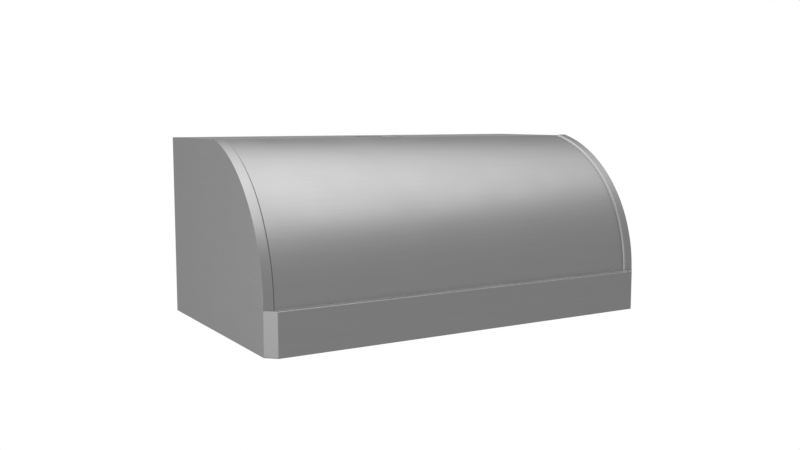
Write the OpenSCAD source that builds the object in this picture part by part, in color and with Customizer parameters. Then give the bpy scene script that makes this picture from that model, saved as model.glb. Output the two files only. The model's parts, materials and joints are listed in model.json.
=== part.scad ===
// Wall-mounted range hood with a barrel front, a flat top and an internal centrifugal blower.
// Millimetres. X runs along the wall, Y runs from the cook to the wall, Z runs up.
// The origin is on the floor of the bounding box, at its middle.

/* [Canopy] */
// Width of the canopy along the wall
hood_w = 1066.8; // [1000:0.1:1220]
// Depth of the canopy from the wall to the front rail
hood_d = 609.6; // [590:0.1:625]
// Height of the flat top
hood_h = 457.2; // [445:0.1:500]
// Depth of the flat top, measured from the wall
top_d = 304.8; // [295:0.1:325]
// Height of the front rail
rail_h = 101.6; // [98:0.1:112]
// Set-back of the rail's two cut corners, and depth of the step above the rail
corner_cut = 23.8; // [18:0.1:28]
// Thickness of the canopy's steel sheet
sheet_t = 1.2; // [1:0.1:1.5]
// Width of the rolled flange that each end panel lays over the barrel
flange_w = 25.4; // [18:0.1:40]
// Depth of the barrel's skin behind that flange
skin_recess = 4.8; // [3:0.1:6]
// Distance behind the flat top's front edge at which the skin meets the top panel
skin_reach = 10.4; // [8:0.1:16]
// Height of the rolled flanges' ends above the flat top
flange_proud = 2.4; // [1.6:0.1:4]
// Width of the hidden flanges inside the canopy
return_w = 24; // [18:1:30]
// Depth of the ledge that the rail turns back under the skin
ledge_w = 55; // [45:1:60]

/* [Control deck] */
// Height of the deck's lower face above the rim
deck_z = 60.8; // [56:0.1:64]
// Height of the deck's upturned front flange
deck_flange_h = 25; // [12:1:32]
// Depth of the deck, from the front rail to its step up to the filters
deck_d = 160; // [150:1:175]
// Distance of the lamps and knobs behind the front rail
deck_row = 80; // [70:1:95]
// Distance of each lamp from the middle
lamp_x = 320; // [200:1:440]
// Outer radius of a lamp's housing
lamp_r = 31; // [24:0.5:36]
// Height of a lamp's housing above the deck's lower face
lamp_h = 30; // [24:1:34]
// Outer radius of a lamp's bezel
bezel_r = 38; // [37:0.5:46]
// Distance of each knob from the middle
knob_x = 45; // [30:1:90]
// Radius of a knob
knob_r = 19; // [15:0.5:24]
// Height of a knob
knob_h = 20; // [14:0.5:24]
// Radius of a switch shaft
shaft_r = 3; // [2.5:0.1:4]

/* [Filters] */
// Thickness of a filter
filter_t = 18; // [15:0.5:22]
// Slope of the filters, low at the wall
filter_tilt = 6; // [4:0.5:7]
// Thickness of a filter's own sheet
filter_sheet = 0.8; // [0.6:0.1:1]
// Width of a filter frame's face
filter_face = 20; // [14:0.5:26]
// Width of one baffle channel
baffle_w = 30; // [26:0.5:34]
// Spacing of the baffle channels in a row
baffle_pitch = 44; // [40:0.5:45]
// Height of one baffle channel
baffle_h = 9.5; // [8:0.1:11]
// Distance that a filter is pushed up its slope to free its rear edge
filter_travel = 14; // [12:0.5:18]
// Distance of the filters' rear edge in front of the wall
filter_rear = 42.8; // [40:0.1:50]
// Height of the filters' rear edge above the rim
filter_rear_z = 34; // [33:0.5:38]
// Drop of a filter's handle below the baffles
handle_drop = 20; // [15:0.5:24]

/* [Grease tray] */
// Depth of the tray from front to back
tray_d = 86; // [70:1:92]
// Height of the tray
tray_h = 22; // [16:0.5:22]
// Height of the tray's floor above the rim
tray_z = 6; // [3:0.5:6]
// Thickness of the tray's sheet
tray_t = 1; // [0.8:0.1:1.5]
// Distance of the tray's side walls inside the end panels
tray_side = 15.4; // [14:0.1:20]
// Distance that the tray slides forward
tray_travel = 150; // [100:1:160]

/* [Blower] */
// Radius of the fan wheel
wheel_r = 100; // [92:0.5:104]
// Width of the fan wheel
wheel_w = 200; // [170:1:210]
// Number of blades
blade_n = 36; // [24:1:44]
// Depth of a blade along the radius
blade_d = 16; // [12:0.5:20]
// Gap between the wheel and the start of the scroll
scroll_gap = 8; // [6:0.5:10]
// Growth of the scroll in each quarter turn
scroll_step = 18; // [15:0.5:19]
// Gap between the wheel and the scroll's side plates
scroll_side_gap = 8; // [6:0.5:12]
// Angle of the scroll's tongue above the horizontal
tongue_a = 70; // [62:1:75]
// Height of the fan's shaft above the rim
shaft_z = 244; // [240:0.5:245]
// Radius of the motor
motor_r = 52; // [40:0.5:60]
// Length of the motor
motor_l = 78; // [60:1:80]
// Radius of the motor's shaft
motor_shaft_r = 4; // [3:0.1:6]
// Radius of the round duct outlet
outlet_r = 101.6; // [90:0.1:103]
// Length of the outlet's collar
collar_l = 11; // [7:0.5:11.5]

/* [Fixings] */
// Spacing of the wall screws along the wall
wall_hole_x = 812.8; // [700:0.1:900]
// Height of the lower wall screws above the rim
wall_hole_z = 120; // [100:1:160]
// Spacing of the wall screws up the wall
wall_hole_dz = 280; // [200:1:290]
// Radius of the wall screws' holes
wall_hole_r = 4; // [3:0.1:6]
// Spacing along the wall of the screws into a cabinet above
cabinet_hole_x = 914.4; // [800:0.1:960]
// Spacing from front to back of those screws
cabinet_hole_dy = 177.8; // [120:0.1:200]
// Radius of the cabinet screws' holes
cabinet_hole_r = 3.5; // [2.5:0.1:5]
// Radius of the opening for the supply wiring
knockout_r = 11.1; // [10:0.1:14]
// Radius of the panel screws' shanks
screw_r = 2; // [1.5:0.1:2.5]

/* [Hidden] */
$fn = 96;

// General clearance between neighbours, and the finer one of a running fit
gap = 0.3;
fit = 0.05;
screw_gap = 0.2;

// Canopy
front_y = -hood_d / 2;
back_y = hood_d / 2;
side_x = hood_w / 2;
side_in = side_x - sheet_t;
rail_in_y = front_y + sheet_t;
back_in = back_y - sheet_t;
top_z = hood_h;
top_under = top_z - sheet_t;

// Flanges: an arc that leaves the rail upright and ends above the flat top's front edge
arc_y0 = front_y + corner_cut;
arc_y1 = back_y - top_d;
arc_run = arc_y1 - arc_y0;
flange_top = hood_h + flange_proud;
arc_rise = flange_top - rail_h;
arc_r = (arc_run * arc_run + arc_rise * arc_rise) / (2 * arc_run);
arc_cy = arc_y0 + arc_r;

// Skin: an arc of its own that leaves the ledge upright and meets the top panel
skin_y0 = arc_y0 + skin_recess;
skin_end_y = arc_y1 + skin_reach;
skin_run = skin_end_y - skin_y0;
skin_rise = top_z - rail_h;
skin_r = (skin_run * skin_run + skin_rise * skin_rise) / (2 * skin_run);
skin_cy = skin_y0 + skin_r;
joggle_l = 2;
skin_lip_w = 20;
skin_lip_y = skin_end_y - joggle_l;
skin_lip_end = skin_lip_y + skin_lip_w;

// Rail
tab_l = 20;
rim_lip_w = 28;
corner_clear = corner_cut + (sheet_t + gap) * sqrt(2);

// Filters
filter_n = 3;
filter_side_gap = 3;
filter_space = 2;
filter_end_gap = 3;
riser_y = front_y + deck_d;
filter_rear_y = back_y - filter_rear;
filter_front_y = riser_y + filter_travel + filter_end_gap;
filter_l = (filter_rear_y - filter_front_y) / cos(filter_tilt);
filter_w = (2 * side_in - 2 * filter_side_gap - (filter_n - 1) * filter_space) / filter_n;
filter_step = filter_w + filter_space;
filter_bite = 10;
filter_stop_y = filter_rear_y + filter_t * sin(filter_tilt) + gap;
baffle_n = floor((filter_w - 2 * filter_sheet - baffle_w) / baffle_pitch) + 1;
handle_w = 16;
handle_t = 1.5;
handle_foot = 20;
handle_span = (baffle_n % 2 == 0 ? 3 : 2) * baffle_pitch;
handle_inset = 86;
handle_at = filter_l - handle_inset;

// Deck
deck_row_y = front_y + deck_row;
ledge_back_y = filter_front_y + filter_bite;
ledge_top = filter_bottom(ledge_back_y) - gap;
deck_half = side_in - sheet_t - gap;
bushing_r = shaft_r + 2;
switch_w = 44;
switch_h = 28;

// Rear filter rail
rear_rail_top = 70;
rear_ledge_y = filter_rear_y - filter_bite;
rear_ledge_top = filter_rear_z - gap;
drip_slot_w = 60;
drip_slot_d = 4;
drip_slot_n = 9;

// Grease tray
tray_x = side_in - tray_side;
tray_y1 = back_in - sheet_t - 4;
tray_y0 = tray_y1 - tray_d;
tray_top = tray_z + tray_h;
tray_rim = 9;
tray_pull = 8;
runner_z = tray_top - tray_t - gap;
runner_l = tray_d + tray_travel;
runner_leg = 14;

// Blower
outlet_y = back_y - top_d / 2;
scroll_w = wheel_w + 2 * scroll_side_gap;
scroll_t = 1;
scroll_r1 = wheel_r + scroll_gap;
throat_in = -scroll_step / 2 + scroll_r1 * cos(tongue_a);
throat_out = scroll_step / 2 + scroll_r1 + 3 * scroll_step;
scroll_rim = 4;
box_z0 = ceil(shaft_z + scroll_step / 2 + scroll_r1 + scroll_rim);
throat_top = box_z0 - shaft_z;
shaft_y = round(outlet_y - (throat_in + throat_out) / 2);
bell_r = 8;
inlet_r = wheel_r - 10;
inlet_flange = 11;
blade_r0 = wheel_r - blade_d;
blade_arc = 14;
blade_t = 1;
ring_t = 2;
plate_t = 1.5;
hub_r = 14;
hub_l = 28;
hub_flange_r = 24;
hub_flange_t = 3;
motor_x0 = -scroll_w / 2 - 8;
motor_x1 = motor_x0 + motor_l;
motor_boss_r = 12;
motor_boss_l = 12;
shaft_x0 = motor_x1 - 24;
shaft_x1 = hub_l / 2 + 4;
band_t = 2;
band_w = 16;
arm_w = 16;
arm_t = 2;
arm_n = 3;

// Discharge box, damper and collar
box_half = max(outlet_r + 6.4, scroll_w / 2);
box_flange = 12;
flap_t = 1;
flap_over = 4;
flap_axis_z = box_z0 + sheet_t + 5;
rod_r = 3;
knuckle_r = 4.5;
flap_l = (throat_out - throat_in) / 2 + flap_over;
flap_half = scroll_w / 2 - 1.5;
knuckle_n = 6;
collar_t = 1.2;
collar_flange = 4.7;
collar_z = top_z - collar_l;
box_screw_dy = 140;

// Wiring
jbox_x = -300;
jbox_w = 100;
jbox_d = 66;
jbox_h = 58;
jbox_y1 = back_in - sheet_t - gap;
jbox_y = jbox_y1 - jbox_d / 2;
jbox_z0 = top_under - jbox_h;
knockout_y = jbox_y - 6;
lead_r = 4;
lead_bend = 20;
lead_z = top_under - 30;
lead_y = jbox_y1 - 20;
lead_side_gap = 17;
lead_side_x = -side_in + lead_side_gap;
lead_rise = 64;
lead_low_z = deck_z + lead_rise;
lead_step_gap = 26;
lead_deck_y = riser_y - lead_step_gap;
lead_deck_rise = 16;
lead_deck_z = deck_z + lead_deck_rise;
clip_w = 10;
clip_t = 2;
clip_inset = 60;
motor_lead_gap = 60;
cap_x = 190;
cap_z = 210;
cap_r = 20;
cap_h = 70;
brace_h = 40;
brace_z = shaft_z - 20;
brace_y0 = shaft_y + throat_out - 40;

// Panel screws
top_screw_x = side_x - return_w / 2;
top_screw_y = [skin_lip_end + 30, (skin_lip_end + back_y) / 2, back_y - 30];
screw_head_r = 4;
screw_l = 10;

// Height of the filters' lower face above a place between front and wall
function filter_bottom(y) = filter_rear_z + (filter_rear_y - y) * tan(filter_tilt);

// Centres of the scroll's four arcs about the shaft, by the four-square layout
function scroll_centre(i) = scroll_step / 2 * [[-1, 1], [-1, -1], [1, -1], [1, 1]][i];

// A profile drawn in depth and height, drawn out along the width
module along_x(x0, x1) {
    translate([x0, 0, 0])
        rotate([90, 0, 90])
            linear_extrude(x1 - x0)
                children();
}

// A rectangle in depth and height, by its two corners
module area(y0, z0, y1, z1) {
    polygon([[y0, z0], [y1, z0], [y1, z1], [y0, z1]]);
}

// A block by its two corners
module block(low, high) {
    translate([0, 0, low[2]])
        linear_extrude(high[2] - low[2])
            area(low[0], low[1], high[0], high[1]);
}

// A round bar along the width
module bar_x(x0, x1, r) {
    translate([x0, 0, 0])
        rotate([0, 90, 0])
            cylinder(h = x1 - x0, r = r);
}

// Mirrors a left-hand piece for the right-hand end
module on_side(side) {
    mirror([side > 0 ? 1 : 0, 0, 0])
        children();
}

// Canopy

module arc_disc(inset) {
    translate([arc_cy, rail_h])
        circle(r = arc_r - inset);
}

module skin_disc(inset) {
    translate([skin_cy, rail_h])
        circle(r = skin_r - inset);
}

module end_outline() {
    difference() {
        union() {
            area(arc_y0, 0, back_in, rail_h);
            intersection() {
                arc_disc(0);
                area(arc_y0, rail_h, arc_y1, flange_top + 1);
            }
            area(arc_y1, rail_h, back_in, top_z);
        }
        area(skin_end_y, top_under, back_y, top_z + 1);
    }
}

// Section of the turned edge that reaches from the flange down to the skin, from a given depth
module hem_section(y_front) {
    intersection() {
        difference() {
            arc_disc(0);
            skin_disc(-screw_gap);
        }
        area(y_front, rail_h, arc_y1, flange_top + 1);
    }
}

// One pressed and rolled sheet: the side, the flange that follows the barrel with its hem
// and closed end, and the hidden flanges at the top, the wall and the rim
module end_panel(side) {
    color("silver")
    on_side(side)
    difference() {
        union() {
            along_x(-side_x, -side_in)
                end_outline();
            along_x(-side_in, -side_x + flange_w) {
                intersection() {
                    difference() {
                        arc_disc(0);
                        arc_disc(sheet_t);
                    }
                    area(arc_y0, rail_h, arc_y1, flange_top + 1);
                }
                hem_section(arc_y1 - sheet_t);
            }
            along_x(-side_x + flange_w - sheet_t, -side_x + flange_w)
                hem_section(arc_y0);
            block([-side_in, back_in - sheet_t, 0], [-side_x + return_w, back_in, top_under]);
            block([-side_in, arc_y0 + tab_l + 1, 0], [-side_x + return_w, back_in, sheet_t]);
            block([-side_in, skin_lip_end + 1, top_under - sheet_t],
                  [-side_x + return_w, back_in, top_under]);
        }
        for (y = top_screw_y)
            translate([-top_screw_x, y, top_under - screw_l])
                cylinder(h = screw_l + 1, r = screw_r + screw_gap);
    }
}

// The curved front sheet, standing on the rail's ledge and set down under the top panel
module barrel_skin() {
    color("gainsboro")
    along_x(-side_in + gap, side_in - gap) {
        intersection() {
            difference() {
                skin_disc(0);
                skin_disc(sheet_t);
            }
            area(arc_y0, rail_h, skin_end_y, top_z + 1);
        }
        area(skin_lip_y, top_under - sheet_t, skin_end_y, top_under + sheet_t / 4);
        area(skin_lip_y, top_under - sheet_t, skin_lip_end, top_under);
    }
}

// Plan of the rail out to its cut corners, back to a given depth
module rail_plan(y_back) {
    polygon([
        [-side_in, y_back], [-side_in, arc_y0], [-side_x, arc_y0], [-side_x + corner_cut, front_y],
        [side_x - corner_cut, front_y], [side_x, arc_y0], [side_in, arc_y0], [side_in, y_back]
    ]);
}

// Plan of the space behind the rail's sheet
module rail_inside() {
    tab_in = side_in - sheet_t;
    inner_cut = corner_cut + sheet_t * sqrt(2);
    polygon([
        [-tab_in, arc_y0 + tab_l + 1], [-tab_in, front_y + inner_cut - sheet_t * 2],
        [-side_x + inner_cut - sheet_t, rail_in_y], [side_x - inner_cut + sheet_t, rail_in_y],
        [tab_in, front_y + inner_cut - sheet_t * 2], [tab_in, arc_y0 + tab_l + 1]
    ]);
}

// The front rail with its cut corners, the ledge under the skin and the lip round the rim
module front_rail() {
    color("silver")
    union() {
        linear_extrude(rail_h)
            difference() {
                rail_plan(arc_y0 + tab_l);
                rail_inside();
            }
        translate([0, 0, rail_h - sheet_t])
            linear_extrude(sheet_t)
                rail_plan(front_y + ledge_w);
        linear_extrude(sheet_t)
            rail_plan(front_y + rim_lip_w);
    }
}

// The flat top behind the skin and the flanges' ends, with the duct and wiring openings
module top_panel() {
    color("silver")
    difference() {
        block([-side_x, skin_end_y + gap, top_under], [side_x, back_y, top_z]);
        translate([0, outlet_y, top_under - 1])
            cylinder(h = sheet_t + 2, r = outlet_r + collar_t + screw_gap);
        translate([jbox_x, knockout_y, top_under - 1])
            cylinder(h = sheet_t + 2, r = knockout_r);
        for (x = [-1, 1], y = [-1, 1])
            translate([x * cabinet_hole_x / 2, outlet_y + y * cabinet_hole_dy / 2, top_under - 1])
                cylinder(h = sheet_t + 2, r = cabinet_hole_r);
        at_top_screws()
            translate([0, 0, top_under])
                cylinder(h = sheet_t, r1 = screw_r + screw_gap, r2 = screw_head_r + screw_gap);
    }
}

// The wall side, with four screw holes and a stiffening lip at the rim
module back_panel() {
    lip_x = side_x - return_w - 1;
    color("silver")
    difference() {
        union() {
            block([-side_x, back_in, 0], [side_x, back_y, top_under]);
            block([-lip_x, back_in - return_w, 0], [lip_x, back_in, sheet_t]);
        }
        for (x = [-1, 1], z = [0, 1])
            translate([x * wall_hole_x / 2, back_in - 1, wall_hole_z + z * wall_hole_dz])
                rotate([-90, 0, 0])
                    cylinder(h = sheet_t + 2, r = wall_hole_r);
    }
}

// Underside

// The deck behind the rail that carries lamps and knobs, stepped up to the filters' front ledge
module control_deck() {
    color("darkgray")
    difference() {
        along_x(-deck_half, deck_half) {
            area(rail_in_y, deck_z, rail_in_y + sheet_t, deck_z + deck_flange_h);
            area(rail_in_y, deck_z, riser_y, deck_z + sheet_t);
            area(riser_y - sheet_t, deck_z, riser_y, ledge_top);
            area(riser_y - sheet_t, ledge_top - sheet_t, ledge_back_y, ledge_top);
        }
        for (side = [-1, 1]) {
            on_side(side)
                translate([0, 0, deck_z - 1])
                    linear_extrude(deck_flange_h + 2)
                        polygon([
                            [-side_x - 1, front_y - 1], [-side_x + corner_clear + 1, front_y - 1],
                            [-side_x - 1, front_y + corner_clear + 1]
                        ]);
            translate([side * lamp_x, deck_row_y, deck_z - 1])
                cylinder(h = sheet_t + 2, r = lamp_r + gap);
            translate([side * knob_x, deck_row_y, deck_z - 1])
                cylinder(h = sheet_t + 2, r = bushing_r + gap);
        }
    }
}

// The rail at the wall that the filters drop onto, with slots that let the grease through
module rear_filter_rail() {
    slot_pitch = 2 * side_in / drip_slot_n;
    color("darkgray")
    difference() {
        along_x(-side_in + gap, side_in - gap) {
            area(rear_ledge_y, rear_ledge_top - sheet_t, filter_stop_y + sheet_t, rear_ledge_top);
            area(filter_stop_y, rear_ledge_top - sheet_t, filter_stop_y + sheet_t, rear_rail_top);
            area(filter_stop_y, rear_rail_top - sheet_t, back_in - sheet_t, rear_rail_top);
        }
        for (i = [0 : drip_slot_n - 1])
            translate([(i - (drip_slot_n - 1) / 2) * slot_pitch, rear_ledge_y + filter_bite / 2, 0])
                translate([-drip_slot_w / 2, -drip_slot_d / 2, rear_ledge_top - sheet_t - 1])
                    cube([drip_slot_w, drip_slot_d, sheet_t + 2]);
    }
}

module tray_runner(side) {
    color("darkgray")
    on_side(side)
    union() {
        block([-side_in, tray_y1 - runner_l, runner_z - sheet_t], [-tray_x - 1.5, tray_y1, runner_z]);
        block([-side_in, tray_y1 - runner_l, runner_z - runner_leg], [-side_in + sheet_t, tray_y1, runner_z]);
    }
}

// A folded tray with side rims that hang on the runners and a lip to pull it by
module grease_tray() {
    color("silver")
    union() {
        difference() {
            block([-tray_x, tray_y0, tray_z], [tray_x, tray_y1, tray_top]);
            block([-tray_x + tray_t, tray_y0 + tray_t, tray_z + tray_t],
                  [tray_x - tray_t, tray_y1 - tray_t, tray_top + 1]);
        }
        for (side = [-1, 1])
            on_side(side)
                block([-tray_x - tray_rim, tray_y0, tray_top - tray_t], [-tray_x, tray_y1, tray_top]);
        block([-tray_x, tray_y0 - tray_pull, tray_top - tray_t], [tray_x, tray_y0, tray_top]);
        block([-tray_x, tray_y0 - tray_pull, tray_top - tray_pull], [tray_x, tray_y0 - tray_pull + tray_t, tray_top]);
    }
}

// Filters

// Places a filter's own frame: its rear lower edge lies on the X axis and it runs forward
module at_filter(i) {
    translate([(i - (filter_n - 1) / 2) * filter_step, filter_rear_y, filter_rear_z])
        rotate([-filter_tilt, 0, 0])
            children();
}

// A channel bent round all four sides, open inward, with weep slots at its rear edge
module filter_frame(i) {
    inner_w = filter_w - 2 * filter_sheet;
    open_w = filter_w - 2 * filter_face;
    weep_w = 18;
    color("lightgray")
    at_filter(i)
    difference() {
        translate([-filter_w / 2, -filter_l, 0])
            cube([filter_w, filter_l, filter_t]);
        translate([-inner_w / 2, -filter_l + filter_sheet, filter_sheet])
            cube([inner_w, filter_l - 2 * filter_sheet, filter_t - 2 * filter_sheet]);
        translate([-open_w / 2, -filter_l + filter_face, -1])
            cube([open_w, filter_l - 2 * filter_face, filter_t + 2]);
        for (k = [-1.5 : 1.5])
            translate([k * 2 * baffle_pitch - weep_w / 2, -filter_bite, -1])
                cube([weep_w, filter_bite / 2, filter_sheet + 1.1]);
    }
}

// One channel across the width, open at the top
module baffle_section() {
    difference() {
        translate([-baffle_w / 2, 0])
            square([baffle_w, baffle_h]);
        translate([-baffle_w / 2 + filter_sheet, filter_sheet])
            square([baffle_w - 2 * filter_sheet, baffle_h]);
    }
}

// Two rows of channels, the upper row upside down over the gaps of the lower one
module filter_baffles(i) {
    color("silver")
    at_filter(i)
    translate([0, -filter_sheet - gap, 0])
    rotate([90, 0, 0])
    linear_extrude(filter_l - 2 * filter_sheet - 2 * gap) {
        for (k = [0 : baffle_n - 1])
            translate([(k - (baffle_n - 1) / 2) * baffle_pitch, filter_sheet])
                baffle_section();
        for (k = [0 : baffle_n - 2])
            translate([(k - (baffle_n - 2) / 2) * baffle_pitch, filter_t - filter_sheet])
                mirror([0, 1])
                    baffle_section();
    }
}

// A strap bent to two feet and a grip, hung under the baffles near the front
module filter_handle(i) {
    grip = handle_span / 2 - handle_foot / 2;
    color("silver")
    at_filter(i)
    translate([0, -handle_at + handle_w / 2, filter_sheet])
    rotate([90, 0, 0])
    linear_extrude(handle_w)
        difference() {
            polygon([
                [-grip - handle_foot, 0], [-grip - handle_foot, -handle_t], [-grip - handle_t, -handle_t],
                [-grip + 8, -handle_drop], [grip - 8, -handle_drop], [grip + handle_t, -handle_t],
                [grip + handle_foot, -handle_t], [grip + handle_foot, 0]
            ]);
            polygon([
                [-grip - 0.2, 1], [-grip - 0.2, -handle_t], [-grip + 8.8, -handle_drop + handle_t],
                [grip - 8.8, -handle_drop + handle_t], [grip + 0.2, -handle_t], [grip + 0.2, 1]
            ]);
        }
}

// Blower

module at_shaft() {
    translate([0, shaft_y, shaft_z])
        children();
}

// The scroll's outline about the shaft, drawn with four arcs and an upright throat
module scroll_outline(inset, throat_h) {
    reach = 3 * wheel_r;
    quadrant = [[1, 1], [-1, 1], [-1, -1], [1, -1]];
    for (i = [1 : 3])
        intersection() {
            translate(scroll_centre(i))
                circle(r = scroll_r1 + i * scroll_step - inset);
            translate(scroll_centre(i) + reach / 2 * quadrant[i])
                square(reach, center = true);
        }
    intersection() {
        translate(scroll_centre(0))
            circle(r = scroll_r1 - inset);
        area(-scroll_step / 2, scroll_step / 2, throat_in + inset + 1, throat_h);
    }
    area(throat_in + inset, 0, throat_out - inset, throat_h);
    square(scroll_step, center = true);
}

// The rolled sheet round the wheel, open at the throat
module scroll_wrap() {
    color("gainsboro")
    at_shaft()
    along_x(-scroll_w / 2, scroll_w / 2)
        difference() {
            scroll_outline(0, throat_top);
            scroll_outline(scroll_t, throat_top + 10);
        }
}

// A flat side of the scroll with the hole for its inlet
module scroll_side(side) {
    color("gainsboro")
    at_shaft()
    on_side(side)
    along_x(-scroll_w / 2 - scroll_t, -scroll_w / 2)
        difference() {
            scroll_outline(-scroll_rim, throat_top);
            circle(r = inlet_r + gap);
        }
}

// The spun bell that leads the air into the wheel
module inlet_ring(side) {
    color("lightgray")
    at_shaft()
    on_side(side)
    translate([-scroll_w / 2 - 2 * scroll_t, 0, 0])
    rotate([0, 90, 0])
    rotate_extrude() {
        translate([inlet_r, 0])
            square([inlet_flange, scroll_t]);
        intersection() {
            translate([inlet_r, bell_r])
                difference() {
                    circle(r = bell_r);
                    circle(r = bell_r - scroll_t);
                }
            translate([inlet_r - bell_r, 0])
                square(bell_r);
        }
    }
}

// One forward-curved blade as seen along the shaft
module blade_section() {
    intersection() {
        difference() {
            circle(r = wheel_r - ring_t / 2);
            circle(r = blade_r0);
        }
        translate([blade_r0 - 2, -blade_arc + 2])
            difference() {
                circle(r = blade_arc + blade_d / 2);
                circle(r = blade_arc + blade_d / 2 - blade_t);
            }
        translate([blade_r0 - 1, -2])
            square([blade_d + 4, 2 * blade_arc]);
    }
}

// A squirrel cage with a middle plate and a ring at each end
module fan_wheel() {
    color("gray")
    at_shaft()
    union() {
        along_x(-wheel_w / 2 + ring_t / 2, wheel_w / 2 - ring_t / 2)
            for (k = [0 : blade_n - 1])
                rotate(k * 360 / blade_n)
                    blade_section();
        for (x = [-wheel_w / 2, wheel_w / 2 - ring_t])
            along_x(x, x + ring_t)
                difference() {
                    circle(r = wheel_r);
                    circle(r = blade_r0 - ring_t / 2);
                }
        along_x(-plate_t / 2, plate_t / 2)
            difference() {
                circle(r = wheel_r);
                circle(r = hub_r + gap);
            }
    }
}

module wheel_hub() {
    color("slategray")
    at_shaft()
    difference() {
        union() {
            bar_x(-hub_l / 2, hub_l / 2, hub_r);
            bar_x(plate_t / 2, plate_t / 2 + hub_flange_t, hub_flange_r);
        }
        bar_x(-hub_l, hub_l, motor_shaft_r + fit / 2);
    }
}

module motor_shaft() {
    color("silver")
    at_shaft()
    bar_x(shaft_x0, shaft_x1, motor_shaft_r);
}

// The motor sits in the left inlet, inside the wheel
module motor() {
    cap_l = 10;
    color("dimgray")
    at_shaft()
    difference() {
        union() {
            bar_x(motor_x0 + cap_l, motor_x1 - cap_l, motor_r);
            bar_x(motor_x0, motor_x1, motor_r - 7);
            bar_x(motor_x1 - 1, motor_x1 + motor_boss_l, motor_boss_r);
        }
        bar_x(shaft_x0 - 1, motor_x1 + motor_boss_l + 1, motor_shaft_r + fit);
    }
}

// A band round the motor with three arms bolted to the inlet's flange
module motor_bracket() {
    arm_x = -scroll_w / 2 - 2 * scroll_t;
    arm_r = inlet_r + inlet_flange - 2;
    band_r = motor_r + screw_gap;
    color("gray")
    at_shaft()
    difference() {
        union() {
            bar_x(arm_x - arm_t, arm_x - arm_t + band_w, band_r + band_t);
            for (k = [0 : arm_n - 1])
                rotate([k * 360 / arm_n, 0, 0])
                    translate([arm_x - arm_t, -arm_w / 2, 0])
                        cube([arm_t, arm_w, arm_r]);
        }
        bar_x(arm_x - band_w, arm_x + 2 * band_w, band_r);
        for (k = [0 : arm_n - 1])
            rotate([k * 360 / arm_n, 0, 0])
                translate([0, 0, arm_r - 5])
                    bar_x(arm_x - arm_t - 1, arm_x + 1, screw_r);
    }
}

// The box between scroll and top panel, with the throat in its floor and the damper's rod through its sides
module discharge_box() {
    wall = box_half + sheet_t;
    color("silver")
    difference() {
        union() {
            block([-wall, outlet_y - wall, box_z0], [wall, outlet_y + wall, top_under]);
            block([-wall - box_flange, outlet_y - wall, top_under - sheet_t],
                  [wall + box_flange, outlet_y + wall, top_under]);
        }
        block([-box_half, outlet_y - box_half, box_z0 + sheet_t],
              [box_half, outlet_y + box_half, top_under + 1]);
        block([-scroll_w / 2, shaft_y + throat_in + scroll_t, box_z0 - 1],
              [scroll_w / 2, shaft_y + throat_out - scroll_t, box_z0 + sheet_t + 1]);
        translate([0, outlet_y, flap_axis_z])
            bar_x(-wall - 1, wall + 1, rod_r + fit);
        at_box_screws()
            translate([0, 0, top_under - screw_l])
                cylinder(h = screw_l + 1, r = screw_r + screw_gap);
    }
}

module damper_rod() {
    color("silver")
    translate([0, outlet_y, flap_axis_z])
        bar_x(-box_half - sheet_t - 3, box_half + sheet_t + 3, rod_r);
}

// One leaf of the damper with every second knuckle on the rod, lying over the throat's edge
module damper_flap(way) {
    knuckle_l = 2 * flap_half / knuckle_n;
    first = way < 0 ? 0 : 1;
    color("gainsboro")
    translate([0, outlet_y, flap_axis_z])
    mirror([0, way < 0 ? 0 : 1, 0])
    difference() {
        union() {
            block([-flap_half, -flap_l, -knuckle_r], [flap_half, -rod_r - 2, -knuckle_r + flap_t]);
            for (k = [first : 2 : knuckle_n - 1]) {
                x0 = -flap_half + k * knuckle_l + gap;
                bar_x(x0, x0 + knuckle_l - 2 * gap, knuckle_r);
                block([x0, -rod_r - 3, -knuckle_r], [x0 + knuckle_l - 2 * gap, 0, -knuckle_r + flap_t]);
            }
        }
        bar_x(-flap_half - 1, flap_half + 1, rod_r + fit);
    }
}

// The short ring flush with the top that the duct fits into
module outlet_collar() {
    color("silver")
    translate([0, outlet_y, 0])
    difference() {
        union() {
            translate([0, 0, collar_z])
                cylinder(h = top_z - collar_z, r = outlet_r + collar_t);
            translate([0, 0, top_under - sheet_t])
                cylinder(h = sheet_t, r = outlet_r + collar_flange);
        }
        translate([0, 0, collar_z - 1])
            cylinder(h = collar_l + 2, r = outlet_r);
    }
}

// A bent strap that ties the scroll's side to the wall panel
module blower_brace(side) {
    face_x = scroll_w / 2 + scroll_t;
    color("gray")
    on_side(side)
    union() {
        block([-face_x - sheet_t, brace_y0, brace_z], [-face_x, back_in, brace_z + brace_h]);
        block([-face_x - return_w, back_in - sheet_t, brace_z], [-face_x, back_in, brace_z + brace_h]);
    }
}

// Wiring

module junction_box() {
    color("silver")
    difference() {
        block([jbox_x - jbox_w / 2, jbox_y1 - jbox_d, jbox_z0], [jbox_x + jbox_w / 2, jbox_y1, top_under]);
        block([jbox_x - jbox_w / 2 + sheet_t, jbox_y1 - jbox_d + sheet_t, jbox_z0 - 1],
              [jbox_x + jbox_w / 2 - sheet_t, jbox_y1 - sheet_t, top_under - sheet_t]);
        translate([jbox_x, knockout_y, top_under - 2 * sheet_t])
            cylinder(h = 3 * sheet_t, r = knockout_r);
        translate([jbox_x, lead_y, lead_z])
            bar_x(-jbox_w, jbox_w, lead_r + gap);
    }
}

module junction_cover() {
    color("darkgray")
    difference() {
        block([jbox_x - jbox_w / 2, jbox_y1 - jbox_d, jbox_z0 - sheet_t],
              [jbox_x + jbox_w / 2, jbox_y1, jbox_z0]);
        translate([jbox_x, jbox_y1 - jbox_d + 12, jbox_z0 - 2 * sheet_t])
            cylinder(h = 3 * sheet_t, r = screw_r);
    }
}

module at_capacitor() {
    translate([cap_x, back_in - cap_r - 3, cap_z])
        children();
}

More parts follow.
